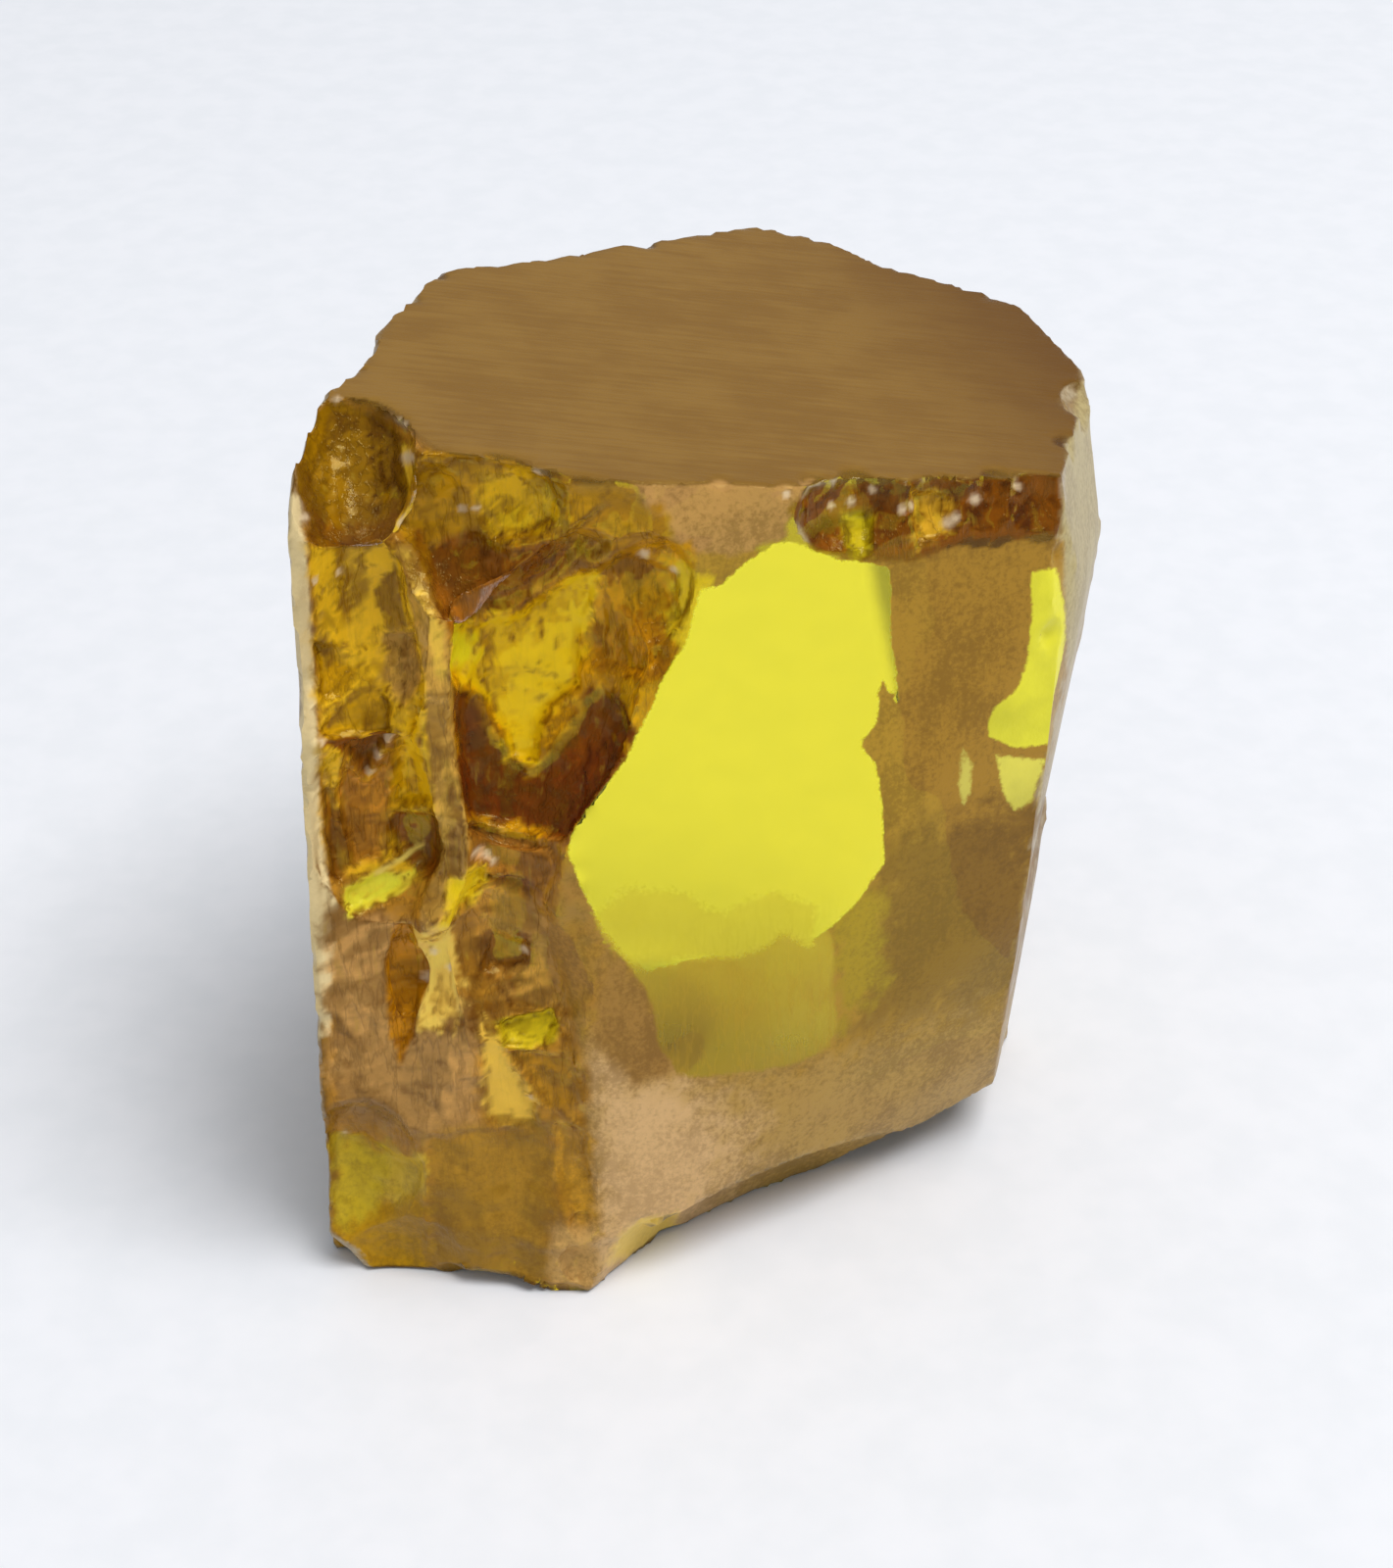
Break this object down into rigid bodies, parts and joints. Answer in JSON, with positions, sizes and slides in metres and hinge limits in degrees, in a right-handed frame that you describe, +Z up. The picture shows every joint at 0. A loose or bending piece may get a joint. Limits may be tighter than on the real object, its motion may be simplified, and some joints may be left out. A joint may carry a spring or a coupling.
{
  "type": "rough zircon",
  "caption": "Rough amber-yellow zircon crystal, a broken prism with a ground top, one clear face and a shattered side, standing on its flat base.",
  "frame": {"origin": "middle of the box's bottom, on the plane of the flat base", "axes": "+Z up, from the flat base to the ground top; -Y towards the flat front face; +X to the viewer's right"},
  "size_m": [0.0238, 0.0232, 0.0282],
  "materials": {
    "zircon": "vitreous, frosted in patches"
  },
  "bodies": {
    "root": {"zircon": "zircon"}
  },
  "joints": []
}
